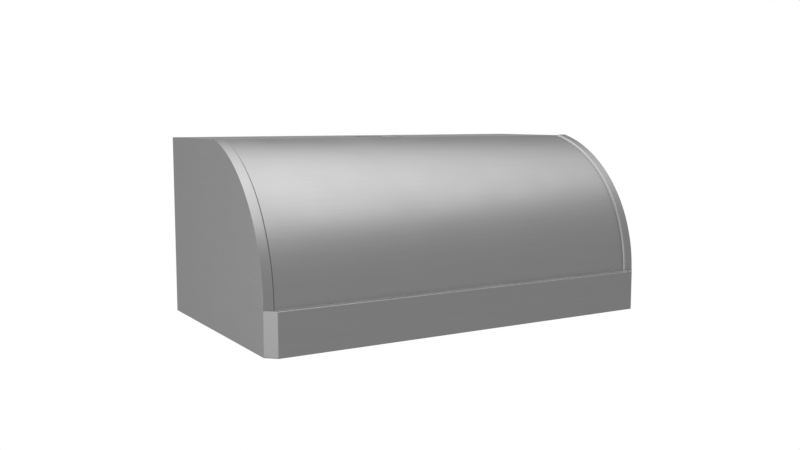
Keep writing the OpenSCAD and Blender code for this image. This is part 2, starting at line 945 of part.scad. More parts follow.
module run_capacitor() {
    color("lightgray")
    at_capacitor()
    union() {
        cylinder(h = cap_h, r = cap_r);
        for (x = [-6, 6])
            translate([x - 0.4, -3, cap_h - 1])
                cube([0.8, 6, 8]);
    }
}

// A band round the capacitor with a foot on the wall panel
module capacitor_clip() {
    clip_z = cap_h * 0.4;
    band_r = cap_r + gap;
    color("gray")
    at_capacitor()
    translate([0, 0, clip_z])
    difference() {
        union() {
            cylinder(h = 14, r = band_r + 1);
            translate([-18, cap_r + 3 - sheet_t, 0])
                cube([36, sheet_t, 14]);
            translate([-5, band_r - 1, 0])
                cube([10, cap_r + 3 - band_r + 1, 14]);
        }
        translate([0, 0, -1])
            cylinder(h = 16, r = band_r);
    }
}

// Controls and lamps

module at_knob(x) {
    translate([x, deck_row_y, deck_z])
        children();
}

// The rotary switch above the deck, with its bushing through the hole
module switch_body(x) {
    color("dimgray")
    at_knob(x)
    difference() {
        union() {
            translate([-switch_w / 2, -switch_w / 2, sheet_t])
                cube([switch_w, switch_w, switch_h]);
            translate([0, 0, -1])
                cylinder(h = sheet_t + 2, r = bushing_r);
        }
        translate([0, 0, -2])
            cylinder(h = switch_h * 0.7, r = shaft_r + fit);
    }
}

module switch_shaft(x) {
    color("silver")
    at_knob(x)
    translate([0, 0, -knob_h + 3])
        cylinder(h = knob_h - 3 + switch_h * 0.5, r = shaft_r);
}

// A turned knob with a raised grip bar and a pointer groove
module knob(x) {
    grip_h = 9;
    skirt_h = 6;
    color("black")
    at_knob(x)
    translate([0, 0, -knob_h - 2])
    difference() {
        union() {
            translate([0, 0, knob_h - skirt_h])
                cylinder(h = skirt_h, r = knob_r);
            translate([0, 0, grip_h / 2])
                cylinder(h = knob_h - skirt_h - grip_h / 2, r1 = knob_r - 3, r2 = knob_r - 1.5);
            intersection() {
                cylinder(h = knob_h, r = knob_r - 2);
                translate([-4, -knob_r, 0])
                    cube([8, 2 * knob_r, knob_h]);
            }
        }
        translate([-0.8, -knob_r, -1])
            cube([1.6, knob_r * 0.6, 2]);
        translate([0, 0, 4])
            cylinder(h = knob_h, r = shaft_r + fit / 2);
    }
}

module at_lamp(side) {
    translate([side * lamp_x, deck_row_y, deck_z])
        children();
}

// A lamp's can with cooling fins on its roof
module lamp_housing(side) {
    wall = 1.2;
    fin_h = 6;
    color("dimgray")
    at_lamp(side)
    union() {
        difference() {
            cylinder(h = lamp_h, r = lamp_r);
            translate([0, 0, -1])
                cylinder(h = lamp_h - 2, r = lamp_r - wall);
        }
        for (k = [-3 : 3])
            translate([k * 8 - 1, -lamp_r * 0.6, lamp_h - 0.5])
                cube([2, lamp_r * 1.2, fin_h]);
    }
}

// A ring under the deck that holds the lens on an inner lip
module lamp_bezel(side) {
    bezel_h = 2.6;
    color("silver")
    at_lamp(side)
    translate([0, 0, -bezel_h])
    rotate_extrude()
        polygon([
            [lamp_r - 5, 0], [bezel_r - 1.5, 0], [bezel_r, 1.2], [bezel_r, bezel_h],
            [lamp_r - 2, bezel_h], [lamp_r - 2, 1], [lamp_r - 5, 1]
        ]);
}

module lamp_lens(side) {
    lens_h = 2.2;
    color("white")
    at_lamp(side)
    translate([0, 0, -1.5])
        cylinder(h = lens_h, r = lamp_r - 2 - screw_gap);
}

// Leads

// A straight run of lead along one axis
module lead_run(a, b, r) {
    d = (b - a) / norm(b - a);
    u = [d[1], d[2], d[0]];
    v = cross(d, u);
    multmatrix([
        [u[0], v[0], d[0], a[0]], [u[1], v[1], d[1], a[1]], [u[2], v[2], d[2], a[2]], [0, 0, 0, 1]
    ])
        cylinder(h = norm(b - a), r = r);
}

// A quarter bend at a corner, from one axis to another
module lead_corner(p, d1, d2, r) {
    c = p - lead_bend * d1 + lead_bend * d2;
    n = cross(d1, d2);
    multmatrix([
        [-d2[0], d1[0], n[0], c[0]], [-d2[1], d1[1], n[1], c[1]], [-d2[2], d1[2], n[2], c[2]], [0, 0, 0, 1]
    ])
        rotate_extrude(angle = 90)
            translate([lead_bend, 0])
                circle(r = r);
}

// A lead that follows square corners with round bends
module lead(points, r) {
    last = len(points) - 1;
    dir = [for (i = [0 : last - 1]) (points[i + 1] - points[i]) / norm(points[i + 1] - points[i])];
    for (i = [0 : last - 1]) {
        a = points[i] + (i > 0 ? lead_bend : 0) * dir[i];
        b = points[i + 1] - (i < last - 1 ? lead_bend : 0) * dir[i];
        lead_run(a, b, r);
    }
    for (i = [1 : last - 1])
        lead_corner(points[i], dir[i - 1], dir[i], r);
}

// From the junction box along the left end panel to the speed switch, and on to the light switch
module power_lead() {
    switch_back = deck_row_y + switch_w / 2;
    color("dimgray") {
        lead([
            [jbox_x - jbox_w / 2 + 6, lead_y, lead_z], [lead_side_x, lead_y, lead_z],
            [lead_side_x, lead_y, lead_low_z], [lead_side_x, lead_deck_y, lead_low_z],
            [lead_side_x, lead_deck_y, lead_deck_z], [-knob_x, lead_deck_y, lead_deck_z],
            [-knob_x, switch_back, lead_deck_z]
        ], lead_r);
        lead_run([-knob_x + switch_w / 2, deck_row_y, lead_deck_z],
                 [knob_x - switch_w / 2, deck_row_y, lead_deck_z], lead_r);
    }
}

// From the junction box down and forward to the motor's outer end
module motor_lead() {
    turn_x = motor_x0 - motor_lead_gap;
    color("dimgray")
    lead([
        [jbox_x + jbox_w / 2 - 6, lead_y, lead_z], [turn_x, lead_y, lead_z],
        [turn_x, lead_y, shaft_z], [turn_x, shaft_y, shaft_z], [motor_x0, shaft_y, shaft_z]
    ], lead_r);
}

// Saddles on the end panel and the deck that hold the power lead
module lead_clips() {
    reach = lead_r + clip_t;
    color("gray")
    difference() {
        union() {
            for (y = [lead_y - clip_inset, (lead_y + lead_deck_y) / 2, lead_deck_y + clip_inset])
                block([-side_in, y - clip_w / 2, lead_low_z - reach],
                      [lead_side_x + reach, y + clip_w / 2, lead_low_z + reach]);
            for (x = [lead_side_x / 2, -knob_x - clip_inset])
                block([x - clip_w / 2, lead_deck_y - reach, deck_z + sheet_t],
                      [x + clip_w / 2, lead_deck_y + reach, lead_deck_z + reach]);
        }
        lead_run([lead_side_x, back_y, lead_low_z], [lead_side_x, lead_deck_y, lead_low_z], lead_r + gap);
        lead_run([lead_side_x - 10, lead_deck_y, lead_deck_z], [0, lead_deck_y, lead_deck_z], lead_r + gap);
    }
}

// Fasteners

module at_box_screws() {
    for (x = [-1, 1], y = [-1, 1])
        translate([x * (box_half + sheet_t + box_flange / 2), outlet_y + y * box_screw_dy / 2, 0])
            children();
}

module at_top_screws() {
    for (x = [-1, 1], y = top_screw_y)
        translate([x * top_screw_x, y, 0])
            children();
    at_box_screws()
        children();
}

// Countersunk screws that hold the top panel to the end panels and carry the discharge box
module panel_screws() {
    color("gainsboro")
    at_top_screws()
        union() {
            translate([0, 0, top_under])
                cylinder(h = sheet_t, r1 = screw_r, r2 = screw_head_r);
            translate([0, 0, top_z - screw_l])
                cylinder(h = screw_l - sheet_t, r = screw_r);
        }
}

end_panel(-1);  // end_panel_left
end_panel(1);  // end_panel_right
barrel_skin();
front_rail();
top_panel();
back_panel();
control_deck();
rear_filter_rail();
tray_runner(-1);  // tray_runner_left
tray_runner(1);  // tray_runner_right
grease_tray();
filter_frame(0);  // filter_frame_left
filter_frame(1);  // filter_frame_centre
filter_frame(2);  // filter_frame_right
filter_baffles(0);  // filter_baffles_left
filter_baffles(1);  // filter_baffles_centre
filter_baffles(2);  // filter_baffles_right
filter_handle(0);  // filter_handle_left
filter_handle(1);  // filter_handle_centre
filter_handle(2);  // filter_handle_right
scroll_wrap();
scroll_side(-1);  // scroll_side_left
scroll_side(1);  // scroll_side_right
inlet_ring(-1);  // inlet_ring_left
inlet_ring(1);  // inlet_ring_right
fan_wheel();
wheel_hub();
motor_shaft();
motor();
motor_bracket();
discharge_box();
damper_rod();
damper_flap(-1);  // damper_flap_front
damper_flap(1);  // damper_flap_rear
outlet_collar();
blower_brace(-1);  // blower_brace_left
blower_brace(1);  // blower_brace_right
junction_box();
junction_cover();
run_capacitor();
capacitor_clip();
switch_body(-knob_x);  // speed_switch
switch_shaft(-knob_x);  // speed_shaft
knob(-knob_x);  // speed_knob
switch_body(knob_x);  // light_switch
switch_shaft(knob_x);  // light_shaft
knob(knob_x);  // light_knob
lamp_housing(-1);  // lamp_housing_left
lamp_housing(1);  // lamp_housing_right
lamp_bezel(-1);  // lamp_bezel_left
lamp_bezel(1);  // lamp_bezel_right
lamp_lens(-1);  // lamp_lens_left
lamp_lens(1);  // lamp_lens_right
power_lead();
motor_lead();
lead_clips();
panel_screws();
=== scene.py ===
# %% [markdown]
# # A wall range hood with a barrel front
# The hood is folded from brushed stainless sheet. A curved front sheet sits between two end panels
# whose rolled flanges follow the curve. Under it are the controls, two lamps, three baffle filters
# and a grease tray, and inside are a centrifugal blower, a damper and the wiring.
#
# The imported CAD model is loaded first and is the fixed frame. Its exact solids keep their place,
# and each gets a finish. Where the real piece has something the solid lacks, such as a bend's
# radius, a piece is modelled here.

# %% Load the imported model
import json
import math

import bmesh
import bpy
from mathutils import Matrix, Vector

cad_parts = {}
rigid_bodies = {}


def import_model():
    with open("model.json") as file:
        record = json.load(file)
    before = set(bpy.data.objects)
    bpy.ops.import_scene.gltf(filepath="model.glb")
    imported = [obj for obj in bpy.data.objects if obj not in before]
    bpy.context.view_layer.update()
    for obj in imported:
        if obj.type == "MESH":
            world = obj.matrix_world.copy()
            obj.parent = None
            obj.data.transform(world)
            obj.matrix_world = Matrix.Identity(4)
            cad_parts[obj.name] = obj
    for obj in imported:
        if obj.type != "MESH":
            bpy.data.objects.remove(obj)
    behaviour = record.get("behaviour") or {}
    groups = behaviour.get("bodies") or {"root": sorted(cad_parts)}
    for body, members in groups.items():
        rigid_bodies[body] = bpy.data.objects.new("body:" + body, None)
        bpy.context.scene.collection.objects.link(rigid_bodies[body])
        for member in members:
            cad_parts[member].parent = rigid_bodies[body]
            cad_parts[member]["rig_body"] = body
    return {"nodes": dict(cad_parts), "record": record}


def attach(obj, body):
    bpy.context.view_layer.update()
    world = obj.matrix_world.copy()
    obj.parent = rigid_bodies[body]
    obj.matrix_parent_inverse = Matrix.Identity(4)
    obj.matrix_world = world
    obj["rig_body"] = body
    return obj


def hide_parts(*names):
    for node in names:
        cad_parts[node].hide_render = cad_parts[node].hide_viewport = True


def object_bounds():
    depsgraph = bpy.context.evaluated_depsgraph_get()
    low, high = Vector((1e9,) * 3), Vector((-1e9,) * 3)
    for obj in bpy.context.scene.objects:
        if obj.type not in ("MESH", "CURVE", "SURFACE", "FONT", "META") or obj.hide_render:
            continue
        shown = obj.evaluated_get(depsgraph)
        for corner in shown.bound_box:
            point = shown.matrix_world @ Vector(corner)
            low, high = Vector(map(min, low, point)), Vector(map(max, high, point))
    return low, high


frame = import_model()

MM = 0.001
cad_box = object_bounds()
slot_of = {part["node"]: part["material_slot"] for part in frame["record"]["subparts"]}
bpy.ops.object.select_all(action="DESELECT")


def box_of(node_name):
    """The low and the high corner of a node's box, in metres."""
    corners = [Vector(c) for c in frame["nodes"][node_name].bound_box]
    return [[pick(c[i] for c in corners) for i in range(3)] for pick in (min, max)]


def middle_of(node_name):
    return Vector([(a + b) / 2 for a, b in zip(*box_of(node_name))])


print("CAD box", [round(c, 4) for corner in cad_box for c in corner], "nodes", len(slot_of))

# %% [markdown]
# ## The camera
# The camera stands at the photograph's place, to the front left and a little above the hood. Its
# place and lens come from the hood's own corners: a lens that made their straight lines and
# distances agree was found first. A sensor of 36 mm and the photograph's own proportions then fix
# the lens.

# %% Place the camera
CAMERA_PLACE = (-1.2869, -2.0916, 0.5061)
CAMERA_TURN = math.radians(-31.07)
CAMERA_TILT = math.radians(90 - 6.51)
LENS_MM = 42.07
SENSOR_MM = 36

bpy.ops.object.camera_add(location=CAMERA_PLACE, rotation=(CAMERA_TILT, 0, CAMERA_TURN))
camera = bpy.context.object
camera.name = "camera"
camera.data.sensor_width = SENSOR_MM
camera.data.lens = LENS_MM
bpy.context.scene.camera = camera
bpy.context.scene.view_settings.view_transform = "Standard"
print("camera lens", camera.data.lens, "mm")

# %% [markdown]
# ## Helpers for finishes
# Every finish is a tree of nodes. One function turns a colour as it is read off a screen into the
# linear values that Blender wants, one adds a node with its settings and links, and one starts a
# material. The other three do what most finishes share: the tone drifts, the gloss drifts, and a
# fine relief stands on the surface.

# %% Helpers for finishes
def linear(hex_colour):
    """A colour written as sRGB hex, as the linear RGBA that a shader reads."""
    channels = [int(hex_colour[i:i + 2], 16) / 255 for i in (1, 3, 5)]
    return tuple(c / 12.92 if c <= 0.04045 else ((c + 0.055) / 1.055) ** 2.4
                 for c in channels) + (1.0,)


def add(tree, kind, inputs=(), **settings):
    """Adds a node. An input that is another node's socket is linked, and any other is a value."""
    node = tree.nodes.new("ShaderNode" + kind)
    for name, value in settings.items():
        setattr(node, name, value)
    for key, value in dict(inputs).items():
        if isinstance(value, bpy.types.NodeSocket):
            tree.links.new(value, node.inputs[key])
        else:
            node.inputs[key].default_value = value
    return node


def start(name):
    """A new material: itself, its empty tree, its shader and the place on the piece in metres."""
    material = bpy.data.materials.new(name)
    material.use_nodes = True
    tree = material.node_tree
    tree.nodes.clear()
    shader = add(tree, "BsdfPrincipled")
    add(tree, "OutputMaterial", {"Surface": shader.outputs["BSDF"]})
    place = add(tree, "TexCoord").outputs["Object"]
    return material, tree, shader, place


def drift_tone(tree, shader, value, colour, shares, ends=(0.0, 1.0)):
    """The base colour runs between two shares of a colour as a value runs between two ends."""
    base = linear(colour)
    tone = add(tree, "ValToRGB", {"Fac": value})
    for element, share, end in zip(tone.color_ramp.elements, shares, ends):
        element.position = end
        element.color = tuple(min(1, c * share) for c in base[:3]) + (1,)
    tree.links.new(tone.outputs["Color"], shader.inputs["Base Color"])


def drift_gloss(tree, shader, value, roughness, spread, ends=(0.3, 0.7)):
    """The roughness drifts to either side as a value runs between two ends."""
    gloss = add(tree, "MapRange", {"Value": value, "From Min": ends[0], "From Max": ends[1],
                                   "To Min": roughness - spread, "To Max": roughness + spread})
    tree.links.new(gloss.outputs["Result"], shader.inputs["Roughness"])


def relief(tree, shader, value, strength, depth_mm):
    """A value becomes a fine relief."""
    bump = add(tree, "Bump", {"Height": value, "Strength": strength, "Distance": depth_mm * MM})
    tree.links.new(bump.outputs["Normal"], shader.inputs["Normal"])


print("helpers ready")

# %% [markdown]
# ## Brushed stainless steel
# The canopy is 304 stainless with a number 4 finish: a belt of fine grit has drawn short parallel
# scratches along the sheet. It gives the eye a soft, wide highlight with faint lines in it, and no
# clear reflection. The scratches could be an image, but noise that is stretched a hundred times
# along the sheet is sharper at any distance. Real ones are about 0.05 mm apart, too fine to show,
# so they are drawn about 1 mm apart.
#
# The end panels were brushed from front to back. The ledge over the rail is glossier than the rest,
# and its colour and grazing tint are painted lighter: painted light on a ledge that lies in the
# barrel's shade. The press has closed up the scratches on the hems' slopes. The edge is the tint
# that grazing light takes.

# %% Finish: brushed stainless
SCRATCH_GAP_MM = 1.1
SCRATCH_MM = 140
CLOUDS_PER_M = 9.0


def brushed(name, colour, roughness, along="X", strength=0.06, edge=0.32):
    """Stainless with drawn scratches along one axis."""
    material, tree, shader, place = start(name)
    across = 1 / (SCRATCH_GAP_MM * MM)
    down = 1 / (SCRATCH_MM * MM)
    scale = {"X": (down, across, across), "Y": (across, down, across)}[along]
    stretched = add(tree, "Mapping", {"Vector": place, "Scale": scale}).outputs["Vector"]
    lines = add(tree, "TexNoise", {"Vector": stretched, "Scale": 1.0, "Detail": 3.0,
                                   "Roughness": 0.6}).outputs["Fac"]
    clouds = add(tree, "TexNoise", {"Vector": place, "Scale": CLOUDS_PER_M, "Detail": 2.0})
    drift_tone(tree, shader, lines, colour, (0.96, 1.04), (0.3, 0.7))
    drift_gloss(tree, shader, clouds.outputs["Fac"], roughness, 0.02)
    relief(tree, shader, lines, strength, 0.05)
    shader.inputs["Metallic"].default_value = 1.0
    shader.inputs["Specular Tint"].default_value = (edge, edge, edge, 1)
    return material


canopy_steel = brushed("stainless_number_4_brushed", "#7C7C7C", 0.42)
side_steel = brushed("stainless_number_4_brushed_front_to_back", "#7C7C7C", 0.42, along="Y")
# The ledge's colour is painted lighter and its edge tint white: painted light for a shaded ledge.
ledge_steel_painted_lighter = brushed("stainless_number_4_painted_lighter_ledge", "#D4D4D4", 0.30, strength=0.03, edge=1.0)
slope_steel = brushed("stainless_pressed_slope", "#7C7C7C", 0.46, along="Y", strength=0.03,
                      edge=0.55)
print(canopy_steel.name, side_steel.name, ledge_steel_painted_lighter.name, slope_steel.name)

# %% [markdown]
# ## Mill-finish stainless
# Sheets that nobody sees from the front are left as they come from the rolling mill: an even,
# cloudy grey that is a little smoother than the brushed side. A slow noise in tone and roughness
# is all that shows.

# %% Finish: mill stainless
def clouded(name, colour, roughness, cloud_mm=60, metallic=1.0, spread=0.05):
    """A plain finish whose gloss and tone drift slowly over the piece."""
    material, tree, shader, place = start(name)
    clouds = add(tree, "TexNoise", {"Vector": place, "Scale": 1 / (cloud_mm * MM),
                                    "Detail": 4.0}).outputs["Fac"]
    drift_tone(tree, shader, clouds, colour, (0.94, 1.0), (0.35, 0.65))
    drift_gloss(tree, shader, clouds, roughness, spread)
    shader.inputs["Metallic"].default_value = metallic
    return material


mill_steel = clouded("stainless_2b_mill_finish", "#868686", 0.30)
turned_steel = clouded("stainless_turned_satin", "#9A9A9A", 0.25, cloud_mm=8)
print(mill_steel.name, turned_steel.name)

# %% [markdown]
# ## Galvanised steel
# The blower and its box are hot-dip galvanised sheet. The zinc freezes in flat crystals, the
# spangle, about 10 mm across on such sheet, each with its own tone and gloss. Voronoi cells are
# exactly that: one random value per cell.

# %% Finish: galvanised steel
SPANGLE_MM = 9


def galvanised(name, colour):
    """Zinc with spangle: each crystal has its own tone and gloss."""
    material, tree, shader, place = start(name)
    crystals = add(tree, "TexVoronoi", {"Vector": place, "Scale": 1 / (SPANGLE_MM * MM),
                                        "Randomness": 1.0})
    value = add(tree, "SeparateColor", {"Color": crystals.outputs["Color"]}).outputs[0]
    drift_tone(tree, shader, value, colour, (0.82, 1.1))
    drift_gloss(tree, shader, value, 0.45, 0.07, (0.0, 1.0))
    shader.inputs["Metallic"].default_value = 1.0
    return material


zinc_sheet = galvanised("galvanised_sheet_spangled", "#A2A6A8")
print(zinc_sheet.name)

# %% [markdown]
# ## Paint, plastic and rubber
# The motor is dipped in black enamel, the knobs are moulded in black ABS, the switches in
# glass-filled nylon and the leads have a PVC sheath. Each is a plain colour under a fine grain, and
# the grain's size tells them apart.

# %% Finish: moulded and painted
PATCHES_PER_M = 30.0


def grained(name, colour, roughness, grain_mm, depth_mm, coat=0.0):
    """A coloured surface with a fine moulded or sprayed grain."""
    material, tree, shader, place = start(name)
    grain = add(tree, "TexNoise", {"Vector": place, "Scale": 1 / (grain_mm * MM), "Detail": 2.0})
    patches = add(tree, "TexNoise", {"Vector": place, "Scale": PATCHES_PER_M,
                                     "Detail": 2.0}).outputs["Fac"]
    drift_tone(tree, shader, patches, colour, (0.85, 1.15))
    drift_gloss(tree, shader, patches, roughness, 0.03)
    relief(tree, shader, grain.outputs["Fac"], 0.6, depth_mm)
    shader.inputs["Coat Weight"].default_value = coat
    return material


motor_enamel = grained("black_dipped_enamel", "#2A2A2C", 0.38, grain_mm=2.5, depth_mm=0.05,
                       coat=0.3)
knob_abs = grained("black_abs_satin", "#1C1C1D", 0.34, grain_mm=0.5, depth_mm=0.01)
switch_nylon = grained("glass_filled_nylon_dark", "#343436", 0.58, grain_mm=0.4, depth_mm=0.02)
lead_pvc = grained("pvc_sheath_dark_grey", "#3A3A3D", 0.5, grain_mm=0.8, depth_mm=0.01)
print(motor_enamel.name, knob_abs.name, switch_nylon.name, lead_pvc.name)

# %% [markdown]
# ## Frosted lens
# The lamps' lenses are pressed glass, sand-blasted on the inside so that no lamp shows through.
# Light goes in and is scattered, so the shader transmits but is rough.

# %% Finish: frosted glass
FROST_MM = 0.8

lens_glass, tree, shader, place = start("frosted_pressed_glass")
frost = add(tree, "TexNoise", {"Vector": place, "Scale": 1 / (FROST_MM * MM), "Detail": 3.0})
relief(tree, shader, frost.outputs["Fac"], 0.5, 0.02)
shader.inputs["Base Color"].default_value = linear("#F1F3F2")
shader.inputs["Roughness"].default_value = 0.5
shader.inputs["IOR"].default_value = 1.52
shader.inputs["Transmission Weight"].default_value = 0.55
print(lens_glass.name)

# %% [markdown]
# ## Finishes on the CAD nodes
# Each node takes the finish of its slot in the record, so the table below is all that is needed.

# %% Give every node its finish
FINISH_OF_SLOT = {
    "canopy_steel": canopy_steel,
    "inner_steel": mill_steel,
    "filter_steel": canopy_steel,
    "galvanised_steel": zinc_sheet,
    "trim_metal": turned_steel,
    "motor_paint": motor_enamel,
    "knob_plastic": knob_abs,
    "switch_plastic": switch_nylon,
    "lead_sheath": lead_pvc,
    "lens_glass": lens_glass,
}
for node_name, slot in slot_of.items():
    node = frame["nodes"][node_name]
    node.data.materials.clear()
    node.data.materials.append(FINISH_OF_SLOT[slot])
print("finished nodes:", len(slot_of))

# %% [markdown]
# ## Edges of folded sheet
# The CAD solids have knife-sharp folds. Real sheet is bent round a tool, so every fold has an
# outside radius of about twice its thickness, and a cut edge is deburred. Those small rounds are
# what catches the light: without them the flange at the far end has no bright line. Redrawing a
# whole panel would lose its hidden flanges, so a panel starts as a copy of its solid. The copy's
# loose triangles are merged, flat neighbours are dissolved, and then the chosen folds are
# bevelled.

# %% Start a piece from its solid
WELD = 0.01 * MM
FLAT = math.radians(0.1)


def alone(piece):
    """Makes a piece the only one that operators act on."""
    bpy.ops.object.select_all(action="DESELECT")
    bpy.context.view_layer.objects.active = piece
    piece.select_set(True)


def open_whole(piece):
    """Opens a piece for editing with all of it selected."""
    alone(piece)
    bpy.ops.object.mode_set(mode="EDIT")
    bpy.ops.mesh.select_all(action="SELECT")


def open_chosen(piece, kind, is_chosen):
    """Opens a piece for editing with what passes the test selected, and says how much that is."""
    alone(piece)
    bpy.ops.object.mode_set(mode="EDIT")
    bpy.ops.mesh.select_mode(type=kind)
    bpy.ops.mesh.select_all(action="DESELECT")
    shape = bmesh.from_edit_mesh(piece.data)
    elements = {"VERT": shape.verts, "EDGE": shape.edges, "FACE": shape.faces}[kind]
    chosen = [element for element in elements if is_chosen(element)]
    for element in chosen:
        element.select_set(True)
    bmesh.update_edit_mesh(piece.data)
    return len(chosen)


def close():
    """Leaves editing."""
    bpy.ops.object.mode_set(mode="OBJECT")


def copy_of(mesh, name):
    """A new object in the scene with its own copy of a mesh."""
    piece = bpy.data.objects.new(name, mesh.copy())
    bpy.context.scene.collection.objects.link(piece)
    return piece


def from_solid(node_name, name):
    """A piece that starts as a copy of a solid, with its loose triangles joined into faces."""
    source = frame["nodes"][node_name]
    piece = copy_of(source.data, name)
    open_whole(piece)
    bpy.ops.mesh.customdata_custom_splitnormals_clear()
    bpy.ops.mesh.remove_doubles(threshold=WELD)
    bpy.ops.mesh.dissolve_limited(angle_limit=FLAT)
    close()
    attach(piece, source["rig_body"])
    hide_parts(node_name)
    return piece


print("pieces start from", len(frame["nodes"]), "solids")

# %% Round chosen folds and break the rest
SMOOTH_BELOW = math.radians(50)


def round_folds(piece, is_fold, radius_mm, steps=4):
    """Bevels the edges whose two ends pass the test."""
    count = open_chosen(piece, "EDGE", lambda edge: is_fold(edge.verts[0].co, edge.verts[1].co))
    bpy.ops.mesh.bevel(offset=radius_mm * MM, segments=steps, profile=0.5, affect="EDGES",
                       clamp_overlap=False)
    close()
    return count


def break_edges(piece, width_mm, steps=2, over=35):
    """Deburrs every edge sharper than an angle, then shades the piece smooth."""
    alone(piece)
    broken = piece.modifiers.new("deburred", "BEVEL")
    broken.width = width_mm * MM
    broken.segments = steps
    broken.limit_method = "ANGLE"
    broken.angle_limit = math.radians(over)
    bpy.ops.object.modifier_apply(modifier=broken.name)
    bpy.ops.object.shade_smooth_by_angle(angle=SMOOTH_BELOW)
    even = piece.modifiers.new("large faces stay flat", "WEIGHTED_NORMAL")
    even.keep_sharp = True
    bpy.ops.object.modifier_apply(modifier=even.name)


def finish_piece(piece, material):
    """Gives a piece one finish and says how large its mesh is."""
    piece.data.materials.clear()
    piece.data.materials.append(material)
    print(piece.name, "faces", len(piece.data.polygons))


def finish_some(piece, material, is_chosen):
    """Gives the faces that pass the test a second finish."""
    piece.data.materials.append(material)
    for face in piece.data.polygons:
        if is_chosen(face):
            face.material_index = 1


# %% [markdown]
# ## End panels
# Each end panel is one pressed sheet. Its flange is rolled over the barrel, and its free edge is
# joggled: a press sets it down onto the skin in a slope of about 45 degrees with a soft shoulder.
# That slope makes the bright line down the far end, where it faces the light, and the dark one down
# the near end. The solid has a square step of 4.6 mm there, so the step's foot moves in and its
# shoulder moves out. The step's wall is one long curved face, which is cut into short triangles
# first, so that it doesn't twist. The fold between side and flange is tight.

# %% Where the end panels' edges are
SIDE_X, FRONT_Y, FLANGE_TOP = cad_box[1][0], cad_box[0][1], cad_box[1][2]
RAIL_H = box_of("front_rail")[1][2]
CORNER_CUT = 0.0238
FLANGE_W = 0.0254
ARC_Y0 = FRONT_Y + CORNER_CUT
ARC_R = (ARC_Y0 ** 2 + (FLANGE_TOP - RAIL_H) ** 2) / (-2 * ARC_Y0)
ARC_CY = ARC_Y0 + ARC_R
JOGGLE_X = SIDE_X - FLANGE_W
SHOULDER_OUT = 0.0010
FOOT_IN = 0.0026
STEP_LEAST, STEP_MOST = 0.0030, 0.0062
SHEET_WITH_SLACK = 0.0014
SLOPE_SLACK = 0.0002
SHOULDER_ROUND = 0.001
SAME = 0.00005
NEAR = 0.0001
ON_ARC = 0.0003


def flange_radius(place):
    """The distance to the flanges' axis, or 0 for a place that isn't over the barrel."""
    over_barrel = place.z > RAIL_H - NEAR and place.y < NEAR
    return math.hypot(place.y - ARC_CY, place.z - RAIL_H) if over_barrel else 0.0


def on_flange(place):
    return abs(flange_radius(place) - ARC_R) < ON_ARC


def is_shoulder(corner):
    """Whether a corner is on the upper edge of the solid's step."""
    return on_flange(corner.co) and abs(abs(corner.co.x) - JOGGLE_X) < SAME


def is_foot(corner):
    """Whether a corner is on the step's lower edge, inside or outside the sheet."""
    below = ARC_R - flange_radius(corner.co)
    past_step = abs(corner.co.x) - JOGGLE_X
    return STEP_LEAST < below < STEP_MOST and -NEAR < past_step < SHEET_WITH_SLACK


def is_step_wall(face):
    past_step = abs(abs(face.calc_center_median().x) - JOGGLE_X)
    return abs(face.normal.x) > 0.99 and past_step < SHEET_WITH_SLACK


def on_slope_top(a, b):
    return all(on_flange(c) and abs(abs(c.x) - JOGGLE_X - SHOULDER_OUT) < SAME for c in (a, b))


def on_side_fold(a, b):
    return all(on_flange(c) and abs(abs(c.x) - SIDE_X) < SAME for c in (a, b))


def is_slope(face):
    """Whether a face is part of the slope or of its rounded shoulder."""
    past_step = abs(face.center.x) - JOGGLE_X
    beside = -FOOT_IN - SLOPE_SLACK < past_step < SHOULDER_OUT + SHOULDER_ROUND
    return (beside and flange_radius(face.center) > ARC_R - STEP_MOST
            and abs(face.normal.x) > 0.3)


print("flange arc radius", round(ARC_R / MM, 1), "mm, step at x", round(JOGGLE_X / MM, 1), "mm")

# %% Model the end panels
def split_faces(piece, is_chosen):
    """Cuts faces into short triangles, so that their corners can leave one plane."""
    open_chosen(piece, "FACE", is_chosen)
    bpy.ops.mesh.quads_convert_to_tris(quad_method="BEAUTY", ngon_method="BEAUTY")
    close()


def move_corners(piece, is_chosen, shift):
    count = open_chosen(piece, "VERT", is_chosen)
    bpy.ops.transform.translate(value=shift)
    close()
    return count


for side, outward in (("left", -1), ("right", 1)):
    panel = from_solid("end_panel_" + side, "end_panel_pressed_" + side)
    split_faces(panel, is_step_wall)
    print(side, "corners moved", move_corners(panel, is_shoulder, (outward * SHOULDER_OUT, 0, 0)),
          move_corners(panel, is_foot, (-outward * FOOT_IN, 0, 0)),
          "rounded", round_folds(panel, on_slope_top, radius_mm=1.6, steps=5),
          round_folds(panel, on_side_fold, radius_mm=1.0, steps=3))
    break_edges(panel, 0.2)
    finish_piece(panel, side_steel)
    finish_some(panel, slope_steel, is_slope)

# %% [markdown]
# ## Front rail, skin and flat panels
# The rail is folded up from one strip: its face, the two cut corners, the ledge behind its top and
# the lip under it. All those folds have the brake's radius. Where they run into the sheet's ends
# they leave slivers, which are dissolved. The skin and the panels behind it only need their cut
# edges broken.

# %% Model the rail and the panels
SLIVER = 0.05 * MM


def on_rail_front(place):
    """Whether a place is on the rail's face or on a cut corner."""
    on_face = place.y < FRONT_Y + NEAR
    on_cut = abs(abs(place.x) - place.y - (SIDE_X - CORNER_CUT - FRONT_Y)) < 2 * NEAR
    return on_face or on_cut


def on_rail_top(a, b):
    return all(on_rail_front(c) and abs(c.z - RAIL_H) < SAME for c in (a, b))


def on_rail_bottom(a, b):
    return all(on_rail_front(c) and abs(c.z) < SAME for c in (a, b))


def on_rail_upright(a, b):
    return all(c.y < FRONT_Y + NEAR for c in (a, b)) and abs(a.z - b.z) > RAIL_H / 2


def is_ledge(face):
    return face.normal.z > 0.99 and abs(face.center.z - RAIL_H) < 2 * NEAR


